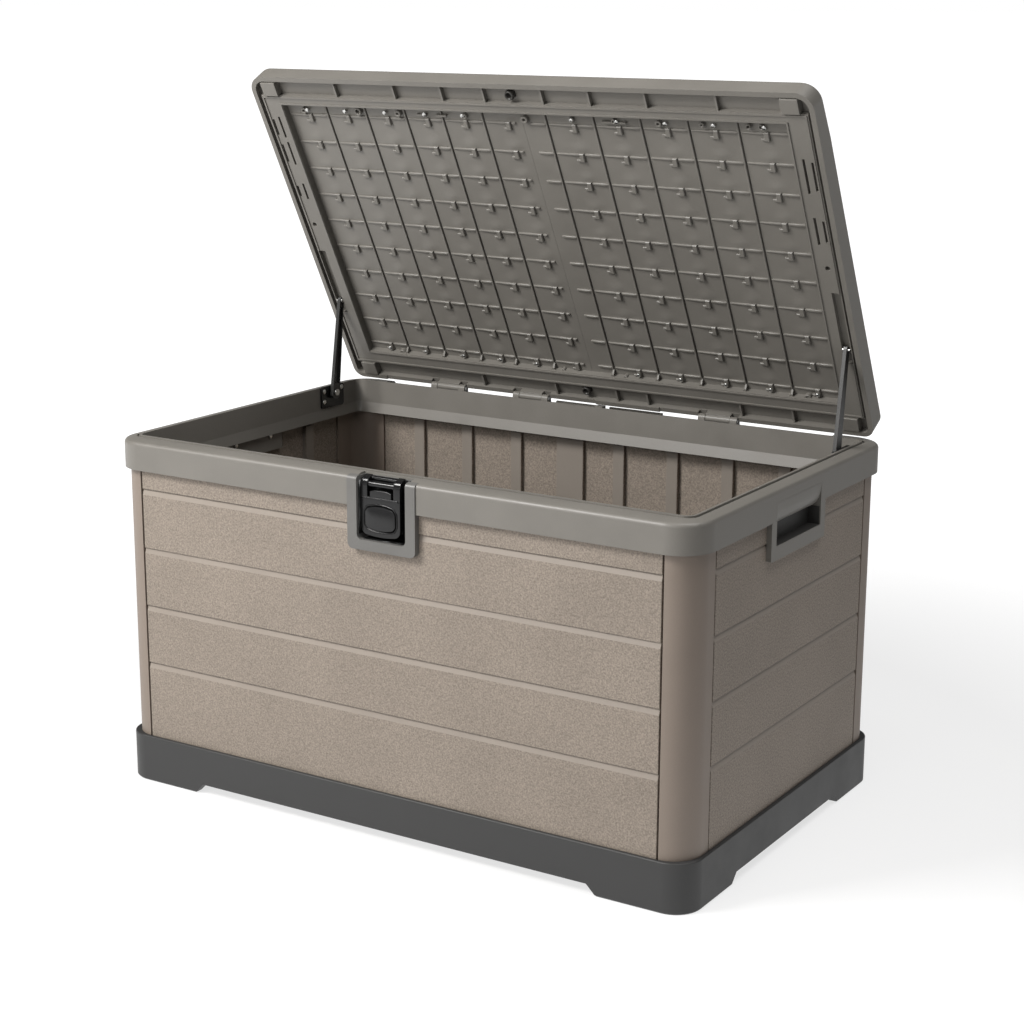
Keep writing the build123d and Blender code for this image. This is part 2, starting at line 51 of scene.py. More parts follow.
# ---- materials ----------------------------------------------------------------------------
class Shader:
    """A Principled material with object coordinates and a few node helpers."""

    def __init__(self, name, rough=0.5, specular=0.5, metallic=0.0, coat=0.0):
        self.mat = bpy.data.materials.new(name)
        self.mat.use_nodes = True
        self.tree = self.mat.node_tree
        self.bsdf = self.tree.nodes["Principled BSDF"]
        self.bsdf.inputs["Roughness"].default_value = rough
        self.bsdf.inputs["Specular IOR Level"].default_value = specular
        self.bsdf.inputs["Metallic"].default_value = metallic
        self.bsdf.inputs["Coat Weight"].default_value = coat
        self.coords = self.tree.nodes.new("ShaderNodeTexCoord").outputs["Object"]
        self.heights = []

    def link(self, a, b):
        self.tree.links.new(a, b)

    def stretched(self, scale):
        node = self.tree.nodes.new("ShaderNodeMapping")
        node.inputs["Scale"].default_value = scale
        self.link(self.coords, node.inputs["Vector"])
        return node.outputs["Vector"]

    def noise(self, scale, detail=2.0, rough=0.5, vector=None, distortion=0.0):
        node = self.tree.nodes.new("ShaderNodeTexNoise")
        node.inputs["Scale"].default_value = scale
        node.inputs["Detail"].default_value = detail
        node.inputs["Roughness"].default_value = rough
        node.inputs["Distortion"].default_value = distortion
        self.link(vector or self.coords, node.inputs["Vector"])
        return node.outputs["Fac"]

    def cells(self, scale, vector=None):
        node = self.tree.nodes.new("ShaderNodeTexVoronoi")
        node.inputs["Scale"].default_value = scale
        self.link(vector or self.coords, node.inputs["Vector"])
        return node.outputs["Distance"]

    def ramp(self, value, low, high, a, b):
        node = self.tree.nodes.new("ShaderNodeValToRGB")
        node.color_ramp.elements[0].position = low
        node.color_ramp.elements[1].position = high
        node.color_ramp.elements[0].color = (*a, 1)
        node.color_ramp.elements[1].color = (*b, 1)
        self.link(value, node.inputs["Fac"])
        return node.outputs["Color"]

    def spread(self, value, low, high, a, b):
        node = self.tree.nodes.new("ShaderNodeMapRange")
        for key, number in (("From Min", low), ("From Max", high), ("To Min", a), ("To Max", b)):
            node.inputs[key].default_value = number
        self.link(value, node.inputs["Value"])
        return node.outputs["Result"]

    def mix(self, kind, a, b, amount=1.0):
        node = self.tree.nodes.new("ShaderNodeMix")
        node.data_type = "RGBA"
        node.blend_type = kind
        node.inputs["Factor"].default_value = amount
        self.link(a, node.inputs[6])
        self.link(b, node.inputs[7])
        return node.outputs[2]

    def times(self, a, b):
        node = self.tree.nodes.new("ShaderNodeMath")
        node.operation = "MULTIPLY"
        self.link(a, node.inputs[0])
        self.link(b, node.inputs[1])
        return node.outputs["Value"]

    def fade(self, direction, start, end):
        """One up to the start, FADED past the end, measured along a direction."""
        node = self.tree.nodes.new("ShaderNodeVectorMath")
        node.operation = "DOT_PRODUCT"
        node.inputs[1].default_value = direction
        self.link(self.coords, node.inputs[0])
        return self.spread(node.outputs["Value"], start, end, 1.0, FADED)

    def colour(self, value):
        self.link(value, self.bsdf.inputs["Base Color"])

    def roughness(self, value):
        self.link(value, self.bsdf.inputs["Roughness"])

    def bump(self, value, depth, strength=1.0):
        self.heights.append((value, depth, strength))

    def done(self):
        normal = None
        for value, depth, strength in self.heights:
            node = self.tree.nodes.new("ShaderNodeBump")
            node.inputs["Distance"].default_value = depth
            node.inputs["Strength"].default_value = strength
            self.link(value, node.inputs["Height"])
            if normal:
                self.link(normal, node.inputs["Normal"])
            normal = node.outputs["Normal"]
        if normal:
            self.link(normal, self.bsdf.inputs["Normal"])
        return self.mat


def shade(colour, k):
    return tuple(c * k for c in colour)


def grained_plastic():
    """Plank faces: sand-blasted grain with light and dark specks."""
    base = (0.225, 0.190, 0.158)
    s = Shader("wall_grain", rough=0.62, specular=0.3)
    grain = s.noise(400, detail=3, rough=0.6)
    patches = s.noise(9, detail=3)
    specks = s.cells(230)
    fine = s.ramp(grain, 0.34, 0.68, shade(base, 0.74), shade(base, 1.26))
    wide = s.ramp(patches, 0.3, 0.7, (0.95, 0.95, 0.95), (1.04, 1.04, 1.04))
    dots = s.ramp(specks, 0.05, 0.30, (0.78, 0.78, 0.78), (1.0, 1.0, 1.0))
    s.colour(s.mix("MULTIPLY", s.mix("MULTIPLY", fine, wide), dots))
    s.roughness(s.spread(grain, 0.3, 0.7, 0.7, 0.52))
    s.bump(grain, 0.0009, 0.6)
    return s.done()


def smooth_plastic(name, base, rough=0.45, specular=0.45, grain_depth=0.00012, contrast=0.05):
    s = Shader(name, rough=rough, specular=specular)
    fine = s.noise(700, detail=2)
    patches = s.noise(14, detail=4, rough=0.6)
    a = s.ramp(patches, 0.3, 0.7, shade(base, 1 - contrast), shade(base, 1 + contrast))
    b = s.ramp(fine, 0.3, 0.7, (0.97, 0.97, 0.97), (1.03, 1.03, 1.03))
    s.colour(s.mix("MULTIPLY", a, b))
    s.roughness(s.spread(patches, 0.3, 0.7, rough - 0.05, rough + 0.06))
    s.bump(fine, grain_depth, 0.5)
    return s.done()


def bright_steel():
    s = Shader("bright_steel", rough=0.3, metallic=1.0)
    brushed = s.noise(900, detail=2, vector=s.stretched((0.15, 1, 1)))
    s.colour(s.ramp(brushed, 0.3, 0.7, (0.50, 0.50, 0.49), (0.72, 0.72, 0.70)))
    s.roughness(s.spread(brushed, 0.3, 0.7, 0.24, 0.38))
    s.bump(brushed, 0.00005, 0.4)
    return s.done()


wall_mat = grained_plastic()
post_mat = smooth_plastic("post_smooth", (0.195, 0.158, 0.130), rough=0.5, contrast=0.03)
# Plank bevel faces: a lighter copy of the wall plastic, painted light on the upward-leaning groove
# bands.
bevel_painted_light_mat = smooth_plastic("plank_bevel_painted_light", (0.240, 0.206, 0.174), rough=0.5, contrast=0.04)
# Plank lip faces: a much darker copy of the wall plastic, painted shade on the downward-facing
# undersides of the grooves.
lip_painted_shade_mat = smooth_plastic("plank_lip_painted_shade", (0.075, 0.062, 0.050), rough=0.6, contrast=0.04)
strip_mat = smooth_plastic("strip_smooth", (0.205, 0.180, 0.155), rough=0.5, contrast=0.03)
lid_mat = smooth_plastic("lid_smooth", (0.153, 0.144, 0.129), rough=0.42)
bezel_mat = smooth_plastic("bezel_smooth", (0.120, 0.117, 0.111), rough=0.4)
base_mat = smooth_plastic("base_smooth", (0.031, 0.031, 0.031), rough=0.5, contrast=0.06)
black_mat = smooth_plastic("black_satin", (0.007, 0.007, 0.0073), rough=0.2, specular=0.4)
stay_mat = smooth_plastic("stay_satin", (0.022, 0.022, 0.021), rough=0.3, specular=0.6)
# Near-black copy of the rim plastic: painted shade inside the finger pulls.
recess_shade_mat = smooth_plastic("recess_painted_shade", (0.035, 0.034, 0.032), rough=0.5)
knob_mat = smooth_plastic("knob_dark", (0.035, 0.033, 0.030), rough=0.4)
steel_mat = bright_steel()
by_slot = {
    "wall_plastic": wall_mat,
    "lid_plastic": lid_mat,
    "base_plastic": base_mat,
    "black_plastic": black_mat,
    "stay_steel": stay_mat,
    "bright_steel": steel_mat,
}


# ---- helpers for pieces -------------------------------------------------------------------
def dress(obj, body, mat):
    obj.data.materials.clear()
    obj.data.materials.append(mat)
    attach(obj, body)
    return obj


def bake_modifiers(obj):
    """Replaces the mesh with its modified one, so nothing is left to evaluate."""
    dg = bpy.context.evaluated_depsgraph_get()
    mesh = bpy.data.meshes.new_from_object(obj.evaluated_get(dg))
    obj.modifiers.clear()
    obj.data = mesh


def round_edges(obj, width, segments=2, angle=35):
    bevel = obj.modifiers.new("bevel", "BEVEL")
    bevel.width = width * MM
    bevel.segments = segments
    bevel.limit_method = "ANGLE"
    bevel.angle_limit = radians(angle)
    bevel.use_clamp_overlap = True
    weighted = obj.modifiers.new("weighted", "WEIGHTED_NORMAL")
    weighted.keep_sharp = True
    bake_modifiers(obj)


def soften(node, width, segments=2, angle=38, mat=None, crisp=None):
    """Copies a CAD node with its sharp edges rounded, and shows the copy in its place."""
    mesh = nodes[node].data.copy()
    bm = bmesh.new()
    bm.from_mesh(mesh)
    bmesh.ops.remove_doubles(bm, verts=bm.verts, dist=2e-6)
    bmesh.ops.join_triangles(bm, faces=bm.faces, angle_face_threshold=1e-3,
                             angle_shape_threshold=3.1)
    for face in bm.faces:
        face.smooth = True
    for edge in bm.edges:
        if crisp and len(edge.link_faces) == 2:
            edge.smooth = edge.calc_face_angle() < radians(crisp)
    bm.to_mesh(mesh)
    bm.free()
    obj = bpy.data.objects.new("soft_" + node, mesh)
    scene.collection.objects.link(obj)
    round_edges(obj, width, segments, angle)
    slot = slot_of[node]
    dress(obj, body_of[node], mat or by_slot[slot])
    # Panels: faces leaning up get the painted light material, faces looking down get the painted shade
    # material.
    if node.endswith("_panel"):
        obj.data.materials.append(bevel_painted_light_mat)
        obj.data.materials.append(lip_painted_shade_mat)
        for face in obj.data.polygons:
            lean = face.normal.z
            face.material_index = 1 if 0.15 < lean < 0.6 else 2 if lean < -0.3 else 0
    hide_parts(node)
    return obj


def on_box(x, y, z):
    return Vector((x, y, z)) * MM


LID_ANGLE = radians(61.8)
HINGE_Y, HINGE_Z = 296, 552.5


def on_lid(x, along, n):
    """Point of the open lid: along runs from the hinge line to the front edge, n into the lid."""
    y = HINGE_Y - along * cos(LID_ANGLE) + n * sin(LID_ANGLE)
    z = HINGE_Z + along * sin(LID_ANGLE) + n * cos(LID_ANGLE)
    return Vector((x, y, z)) * MM


class Piece:
    """A mesh put together from lofted rings of points in millimetres."""

    def __init__(self, place=on_box):
        self.bm = bmesh.new()
        self.place = place

    def loft(self, rings, closed=True, caps=True):
        rows = [[self.bm.verts.new(self.place(*p)) for p in ring] for ring in rings]
        count = len(rows[0])
        for low, high in zip(rows, rows[1:]):
            for i in range(count if closed else count - 1):
                j = (i + 1) % count
                self.bm.faces.new((low[i], low[j], high[j], high[i]))
        if caps:
            self.bm.faces.new(list(reversed(rows[0])))
            self.bm.faces.new(rows[-1])

    def slab(self, x0, x1, y0, y1, z0, z1):
        self.loft([[(x0, y0, z), (x1, y0, z), (x1, y1, z), (x0, y1, z)] for z in (z0, z1)])

    def turned(self, centre, axis, profile, steps=24):
        """Turned shape: profile rows are (distance along the axis, radius)."""
        rings = []
        for height, r in profile:
            ring = []
            for i in range(steps):
                a = 2 * pi * i / steps
                p = [0, 0, 0]
                p[axis] = height
                p[(axis + 1) % 3] = r * cos(a)
                p[(axis + 2) % 3] = r * sin(a)
                ring.append(tuple(c + q for c, q in zip(centre, p)))
            rings.append(ring)
        self.loft(rings)

    def run(self, axis, low, high, outline):
        """Prism along an axis: outline rows hold the other two coordinates in x, y, z order."""
        rings = []
        for w in (low, high):
            rings.append([(*p[:axis], w, *p[axis:]) for p in outline])
        self.loft(rings)

    def finish(self, name, body, slot, mat, round_to=0.0, angle=35, segments=2, smooth=True):
        bmesh.ops.recalc_face_normals(self.bm, faces=self.bm.faces)
        for face in self.bm.faces:
            face.smooth = smooth
        mesh = bpy.data.meshes.new(name)
        self.bm.to_mesh(mesh)
        self.bm.free()
        obj = bpy.data.objects.new(name, mesh)
        scene.collection.objects.link(obj)
        if round_to:
            round_edges(obj, round_to, segments, angle)
        return dress(obj, body, mat)


def cut(target, cutter):
    """Takes the cutter's volume out of the target and drops the cutter."""
    tool = target.modifiers.new("cut", "BOOLEAN")
    tool.operation = "DIFFERENCE"
    tool.solver = "EXACT"
    tool.object = cutter
    bake_modifiers(target)
    bpy.data.objects.remove(cutter)


# ---- CAD nodes carried over with rounded edges --------------------------------------------
rounding = {
    "base_tray": 1.2,
    "front_panel": 0.7,
    "rear_panel": 0.7,
    "left_panel": 0.7,
    "right_panel": 0.7,
    "post_front_left": 1.2,
    "post_front_right": 1.2,
    "post_rear_left": 1.2,
    "post_rear_right": 1.2,
    "top_rim": 0.9,
    "latch_bezel": 1.9,
    "handle_cup_right": 1.0,
    "handle_cup_left": 1.0,
    "lid_shell": 1.8,
    "lid_frame": 0.9,
    "lid_pads": 1.0,
    "lid_hinge_left": 0.8,
    "lid_hinge_middle": 0.8,
    "lid_hinge_right": 0.8,
    "stay_arm_left": 0.5,
    "stay_arm_right": 0.5,
    "stay_bracket_left": 0.6,
    "stay_bracket_right": 0.6,
    "stay_pin_left": 0.6,
    "stay_pin_right": 0.6,
    "stay_rivet_left": 1.2,
    "stay_rivet_right": 1.2,
}
REMADE = ("lid_liner_left", "lid_liner_right", "lid_screws", "latch_frame", "latch_button",
          "lid_front_boss", "lid_rear_boss", "bracket_screws", "handle_screws")
own_mat = {node: post_mat for node in slot_of if node.startswith("post_")}
own_mat["latch_bezel"] = bezel_mat
for node, slot in slot_of.items():
    if node in rounding:
        soften(node, rounding[node], mat=own_mat.get(node),
               crisp=9 if node.endswith("_panel") else None)
    elif node not in REMADE:
        nodes[node].data.materials.clear()
        nodes[node].data.materials.append(by_slot[slot])


# ---- ribbed liner of the lid --------------------------------------------------------------
LINER_N = 14.5          # depth of the sheet's front face inside the lid
SHEET_BACK_N = 17.0
RIB_FOOT_N = 15         # ribs, bars and clips start just behind the front face
LINER_ALONG = (51.0, 551.0)
RIB_ROWS = [71.0 + 50.2 * k for k in range(10)]
RIB_COLUMNS = {
    "left": [-363, -287, -212, -143, -69],
    "right": [43, 125, 203, 280, 359],
}
CLIPS = {
    "left": [-398, -324, -247, -172, -102, -25],
    "right": [90, 166, 246, 323, 402],
}
LINER_ENDS = {"left": (-446.0, -0.15), "right": (0.15, 446.0)}


def liner_depth(x, along, clips):
    """Depth of the sheet, with a soft swelling above every clip."""
    n = LINER_N
    for clip in clips:
        for row in RIB_ROWS:
            dx, da = (x - clip) / 10.0, (along - row - 9.0) / 7.5
            if abs(dx) < 3 and abs(da) < 3:
                n -= 1.9 * 2.718 ** (-dx * dx - da * da)
    return n


def liner_panel(piece, x0, x1, clips):
    """One closed panel of the sheet between two column lines."""
    low, high = LINER_ALONG
    columns = max(2, round((x1 - x0) / 6))
    rows = round((high - low) / 5.5)
    front = []
    for j in range(rows + 1):
        along = low + (high - low) * j / rows
        xs = [x0 + (x1 - x0) * i / columns for i in range(columns + 1)]
        points = [on_lid(x, along, liner_depth(x, along, clips)) for x in xs]
        front.append([piece.bm.verts.new(point) for point in points])
    for j in range(rows):
        for i in range(columns):
            piece.bm.faces.new((front[j][i], front[j][i + 1], front[j + 1][i + 1], front[j + 1][i]))
    edge = (
        front[0] + [row[-1] for row in front[1:]]
        + list(reversed(front[-1]))[1:] + [row[0] for row in reversed(front[1:-1])]
    )
    shift = on_lid(0, 0, SHEET_BACK_N) - on_lid(0, 0, LINER_N)
    back = [piece.bm.verts.new(v.co + shift) for v in edge]
    for i in range(len(edge)):
        j = (i + 1) % len(edge)
        piece.bm.faces.new((edge[i], edge[j], back[j], back[i]))
    piece.bm.faces.new(back)


def rib_section(x, along, half, top):
    """Round-topped section of a rib that runs across the lid."""
    shape = ((-1, RIB_FOOT_N), (-1, top + 1.3), (-0.7, top + 0.4), (0, top), (0.7, top + 0.4),
             (1, top + 1.3), (1, RIB_FOOT_N))
    return [(x, along + half * k, n) for k, n in shape]


def cross_bar(piece, x0, x1, along, grows):
    """Bar between two points; a growing bar starts thin at its left end."""
    start = (1.3, 13.0) if grows else (1.7, 12.2)
    piece.loft([
        rib_section(x0, along, *start),
        rib_section(x0 + 2.5, along, start[0] + (0.2 if grows else 0.4), start[1] - 0.5),
        rib_section((x0 + x1) / 2, along, 1.7 if grows else 2.1, 11.9 if grows else 11.1),
        rib_section(x1 - 2.5, along, 2.1, 11.1),
        rib_section(x1, along, 1.7, 12.0),
    ])


def rectangle(x0, x1, a0, a1, n):
    """Rectangle on the lid at one depth."""
    return [(x0, a0, n), (x1, a0, n), (x1, a1, n), (x0, a1, n)]


def clip(piece, x, along):
    """Small hook hanging from a bar, with a foot to its left."""
    hook = [rectangle(x - 4, x + 4, along - 12, along + 2.5, n) for n in (RIB_FOOT_N, 11.6)]
    piece.loft(hook + [rectangle(x - 3, x + 3, along - 11, along + 1.5, 10.4)])
    foot = [rectangle(x - 10, x - 3, along - 12, along - 8, n) for n in (RIB_FOOT_N, 12.2)]
    piece.loft(foot + [rectangle(x - 9.2, x - 3, along - 11.4, along - 8.6, 11.4)])


def ribbed_liner(half):
    """Half of the liner: panels, column ribs, cross bars and clips."""
    piece = Piece(on_lid)
    x0, x1 = LINER_ENDS[half]
    columns = RIB_COLUMNS[half]
    clips = CLIPS[half]
    breaks = [x0] + [c for x in columns for c in (x + 0.7, x + 1.9)] + [x1]
    for low, high in zip(breaks[::2], breaks[1::2]):
        liner_panel(piece, low, high, clips)
    for x in columns:
        piece.loft([
            [(x - 2.6, a, RIB_FOOT_N), (x - 2.2, a, 12.6), (x - 1.4, a, 12.0), (x, a, 12.0),
             (x + 0.6, a, 12.6), (x + 0.8, a, RIB_FOOT_N)] for a in (59, 544)
        ])
    bar_start = -439.5 if half == "left" else 15.0
    bar_end = -12.0 if half == "left" else 439.5
    ends = [bar_start] + columns + [bar_end]
    for along in RIB_ROWS:
        for low, high in zip(ends, ends[1:]):
            a = low + (3.6 if low != bar_start else 0)
            b = high - (1.6 if high != bar_end else 0)
            inside = [c for c in clips if low < c < high]
            if inside:
                c = inside[0]
                cross_bar(piece, a, c - 3.5, along, True)
                cross_bar(piece, c + 5.8, b, along, False)
                clip(piece, c, along)
            else:
                cross_bar(piece, a, b, along, False)
    obj = piece.finish("liner_" + half, "lid", "lid_plastic", lid_mat)
    flat_shade(obj, 32)
    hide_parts("lid_liner_" + half)


def flat_shade(obj, angle):
    """Keeps edges sharper than the angle crisp, smooths the rest."""
    bm = bmesh.new()
    bm.from_mesh(obj.data)
    for edge in bm.edges:
        edge.smooth = len(edge.link_faces) == 2 and edge.calc_face_angle() < radians(angle)
    bm.to_mesh(obj.data)
    bm.free()


for half in ("left", "right"):
    ribbed_liner(half)


# ---- bosses, small blocks and gussets along the lid's borders ------------------------------
def ring_boss(piece, x, along, r, hole, top=7.2):
    """Raised ring with a sunk hole."""
    piece.turned((x, along, 0), 2, (
        (RIB_FOOT_N, r), (top + 0.8, r), (top, r - 0.8), (top, hole + 0.6), (top + 0.6, hole),
        (13.5, hole), (13.6, 0.2),
    ))


borders = Piece(on_lid)
for x, along, r, hole in (
    (-452, 534, 6.5, 2.6), (452, 534, 6.5, 2.6), (-405, 533, 5, 2.2), (-298, 535, 6.5, 3.8),
    (-222, 534, 5.5, 2.4), (-98, 534, 4, 1.8), (8, 532, 6, 2.6), (90, 535, 4.5, 2.6),
    (162, 535, 4, 1.8), (235, 534, 5, 2.2), (305, 535, 4, 1.8), (378, 535, 4, 2.4),
    (398, 535, 4, 2.4), (-375, 57, 6, 2.8), (385, 57, 6, 3.4), (-52, 57, 4, 2.2), (65, 57, 4, 2.2),
):
    ring_boss(borders, x, along, r, hole)
for x in (-178, -142, 150, 172):
    borders.slab(x - 9, x + 9, 531, 534, 9, RIB_FOOT_N)
for x in RIB_COLUMNS["left"] + RIB_COLUMNS["right"]:
    borders.loft([
        [(x - 6, 57.5, n), (x + 1.5, 57.5, n), (x + 1.5, reach, n), (x - 1, reach, n)]
        for n, reach in ((RIB_FOOT_N, 70), (6.5, 62))
    ])
borders = borders.finish("lid_fastener_bosses", "lid", "lid_plastic", lid_mat)
flat_shade(borders, 40)


def screw_head(piece, centre, axis, out, r, height):
    """Domed head; out is +1 or -1 along the axis."""
    profile = [(0, r), (out * height * 0.35, r)]
    for k in range(1, 5):
        a = radians(90 * k / 5)
        profile.append((out * height * (0.35 + 0.65 * sin(a)), r * cos(a)))
    piece.turned(centre, axis, profile + [(out * height, 0.1)])


def screws(name, node, body, centres, axis, out, r, height, shank, place=on_box):
    """A set of domed screws; out 0 turns each head towards the inside of the box."""
    piece = Piece(place)
    for centre in centres:
        side = out if out else (-1 if centre[0] > 0 else 1)
        screw_head(piece, centre, axis, side, r, height)
        piece.turned(centre, axis, ((side * 0.1, 1.9), (-side * shank, 1.9)))
    obj = piece.finish(name, body, "bright_steel", steel_mat)
    flat_shade(obj, 50)
    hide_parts(node)


lid_screw_x = CLIPS["left"][:-1] + CLIPS["right"]
lid_screw_at = [(x, along, 9) for x in lid_screw_x for along in (534.5, 64.0)]
screws("lid_screw_set", "lid_screws", "lid", lid_screw_at, 2, -1, 3.6, 2.0, 5.0, on_lid)
bracket_at = [(side * 471.5, y, z) for side in (-1, 1)
              for y, z in ((179, 543.5), (179, 525.5), (228, 545))]
screws("bracket_screw_set", "bracket_screws", "box", bracket_at, 0, 0, 4.2, 1.3, 3.5)
handle_at = [(side * 480.5, y, 489) for side in (-1, 1) for y in (-50, 40)]
screws("handle_screw_set", "handle_screws", "box", handle_at, 0, 0, 4.2, 2.2, 2.4)

# painted shade: a near-black skin on the back, floor and ends of both finger pulls, darkening the
# recesses
RECESS_SHADE_SKIN = (
    (483.0, 483.4, -78.9, 68.9, 467.1, 498),
    (483.0, 501.5, -78.9, 68.9, 467.05, 467.4),
    (483.0, 501.0, -79.0, -78.6, 467.1, 494),
    (483.0, 501.0, 68.6, 69.0, 467.1, 494),
)
recess = Piece()
for side in (-1, 1):
    for x0, x1, *rest in RECESS_SHADE_SKIN:
        recess.slab(*sorted((side * x0, side * x1)), *rest)
recess.finish("finger_recess_painted_shade", "box", "lid_plastic", recess_shade_mat, smooth=False)

# dark knobs in the middle of the lid's front and rear borders
for node, x, along in (("lid_front_boss", -4, 575), ("lid_rear_boss", -16, 22)):
    knob = Piece(on_lid)
    knob.turned((x, along, 0), 2, (
        (12.4, 8.0), (5, 8.0), (3.4, 7.2), (2.8, 6.0), (3.4, 4.9), (5.5, 4.2), (11.8, 4.0), (12, 0.2),
    ), steps=32)
    obj = knob.finish("knob_" + node, "lid", "lid_plastic", knob_mat)
    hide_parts(node)

# smooth faces of the upright strips inside the box; those under a finger pull end lower
STRIP_PITCH = 99.5
STRIP_LOW, STRIP_HIGH, STRIP_UNDER_PULL = 60.5, 487.5, 451.5
REAR_STRIPS = [(-357 + STRIP_PITCH * k, 21.0) for k in (0, 1, 2, 4, 5, 6, 7)] + [(-52.0, 52.0)]
strips = Piece()
for x, width in REAR_STRIPS:
    w = width / 2
    strips.loft([
        [(x - w - 0.2, 306, z), (x - w + 0.8, 298.7, z), (x + w - 0.8, 298.7, z),
         (x + w + 0.2, 306, z)] for z in (STRIP_LOW, STRIP_HIGH)
    ])
for k in (-1.5, -0.5, 0.5, 1.5):
    y = STRIP_PITCH * k
    top = STRIP_UNDER_PULL if abs(k) < 1 else STRIP_HIGH
    for side in (-1, 1):
        strips.loft([
            [(side * 489, y - 11.2, z), (side * 481.7, y - 10.2, z),
             (side * 481.7, y + 10.2, z), (side * 489, y + 11.2, z)] for z in (STRIP_LOW, top)
        ])
strips = strips.finish("inner_strip_faces", "box", "wall_plastic", strip_mat)
flat_shade(strips, 30)

# ---- latch --------------------------------------------------------------------------------
LATCH_X = -1.0
LATCH_Y = -314.0        # front face of the latch
LATCH_HALF = 34.0
PLATE_BACK = LATCH_Y + 8
POCKET_BACK = -299.5


def on_latch(x, y, z):
    return on_box(x + LATCH_X, y, z)


def latch_plate():
    """Front plate with rounded lower corners and a hole for the button."""
    plate = Piece(on_latch)
    bottom = [(x, 459.5 + 4.0 * (x / LATCH_HALF) ** 2) for x in range(-27, 28, 3)]
    outline = [(-LATCH_HALF, 474), (-33, 468), (-30.6, 464.6)] + bottom
    outline += [(30.6, 464.6), (33, 468), (LATCH_HALF, 474), (LATCH_HALF, 516), (-LATCH_HALF, 516)]
    plate.run(1, LATCH_Y, PLATE_BACK, outline)
    plate = plate.finish("latch_body", "box", "black_plastic", black_mat)
    hole = Piece(on_latch)
    hole.run(1, LATCH_Y - 2, PLATE_BACK + 4, button_outline(0.9))
    hole = hole.finish("latch_hole", "box", "black_plastic", black_mat)
    cut(plate, hole)
    round_edges(plate, 0.7)
    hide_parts("latch_frame")


def pocket_lining():
    """Dark skin on the back, sides and sill of the bezel's pocket."""
    lining = Piece()
    lining.slab(-36.9, 46.9, POCKET_BACK, POCKET_BACK + 0.45, 456, 545)
    for x in (-36.4, 46.4):
        lining.slab(x - 0.5, x + 0.5, -317, -299.2, 462, 540)
    lining.slab(-30, 40, -315, -299.2, 455.1, 456.0)
    lining.finish("latch_lining", "box", "black_plastic", black_mat)


def latch_rails():
    """Hooked rails, the cross bar between them, and the walls that run back to the pocket."""
    rails = Piece(on_latch)
    crown = [(LATCH_Y + 7 - 7 * cos(radians(a)), 533 + 11 * sin(radians(a))) for a in (18, 36, 54, 72)]
    hook = [(LATCH_Y, 514), (LATCH_Y, 533)] + crown
    hook += [(PLATE_BACK, 544.6), (-300, 546.5), (-299.2, 547), (-299.2, 541), (-303, 538)]
    hook += [(PLATE_BACK, 532), (PLATE_BACK, 514)]
    for x0, x1 in ((-LATCH_HALF, -22.5), (22.5, LATCH_HALF)):
        rails.run(0, x0, x1, hook)
    bar_r = 4.6
    bar = [(LATCH_Y + 6.5 + bar_r * cos(radians(a)), 535 + bar_r * sin(radians(a)))
           for a in range(0, 360, 20)]
    rails.run(0, -23, 23, bar)
    rails.run(0, -23, 23, [(-303.5, 541), (-303.5, 544), (-300, 546), (-299.2, 541)])
    rails.slab(-LATCH_HALF, LATCH_HALF, -301.0, -299.6, 506, 541)
    for x0, x1 in ((-LATCH_HALF, -32), (32, LATCH_HALF)):
        rails.slab(x0, x1, LATCH_Y + 6, -300, 468, 536)
    rails.finish("latch_rails", "box", "black_plastic", black_mat, 0.9)


def button_lip():
    """Raised lip round the button; its section holds (growth, distance behind the front face)."""
    section = ((1.5, 1.0), (1.5, -0.7), (2.0, -1.2), (2.7, -1.2), (3.2, -0.7), (3.2, 1.0))
    sweeps = [[(x, LATCH_Y + out, z) for x, z in button_outline(grow)] for grow, out in section]
    around = [list(points) for points in zip(*sweeps)]
    lip = Piece(on_latch)
    lip.loft(around + [around[0]], caps=False)
    lip = lip.finish("latch_lip", "box", "black_plastic", black_mat)
    flat_shade(lip, 50)


def latch_tab():
    """Crowned tab in the window above the button, with the ledge under it."""
    tab = Piece(on_latch)
    tab.run(1, LATCH_Y + 0.4, LATCH_Y + 6, [
        (-18.5, 515), (18.5, 515), (18.5, 525.5), (12, 527.2), (0, 528), (-12, 527.2), (-18.5, 525.5)
    ])
    tab.slab(-30, 30, LATCH_Y - 1.2, LATCH_Y + 2, 514.2, 517.2)
    tab.finish("latch_tab", "box", "black_plastic", black_mat, 0.8)


def button_outline(grow):
    """Button seen from the front, made larger all round: arched top, bowed bottom."""
    w = 26.0 + grow
    top = [(w * k / 6, 499.6 + grow + 5.6 * (1 - (k / 6) ** 2)) for k in range(5, -6, -1)]
    bottom = [(w * k / 6, 469.4 - grow + 4.4 * abs(k / 6) ** 2.4) for k in range(-5, 6)]
    return [(w, 477), (w, 496)] + top + [(-w, 496), (-w, 477)] + bottom


def push_button():
    """Button cap with a softened rim, and the ear that its pin goes through."""
    cap = Piece(on_latch)
    full = button_outline(0)
    small = [(x * 0.955, 487 + (z - 487) * 0.93) for x, z in full]
    rings = [[(x, y, z) for x, z in full] for y in (LATCH_Y + 5, LATCH_Y - 0.4)]
    rings.append([(x * 0.99, LATCH_Y - 1.2, 487 + (z - 487) * 0.985) for x, z in full])
    rings.append([(x, LATCH_Y - 1.5, z) for x, z in small])
    cap.loft(rings)
    cap.slab(-20, 20, LATCH_Y + 4.5, LATCH_Y + 10, 500, 505)
    obj = cap.finish("push_button", "button", "black_plastic", black_mat)
    flat_shade(obj, 30)
    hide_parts("latch_button")


latch_plate()
pocket_lining()
latch_rails()
button_lip()
latch_tab()
push_button()

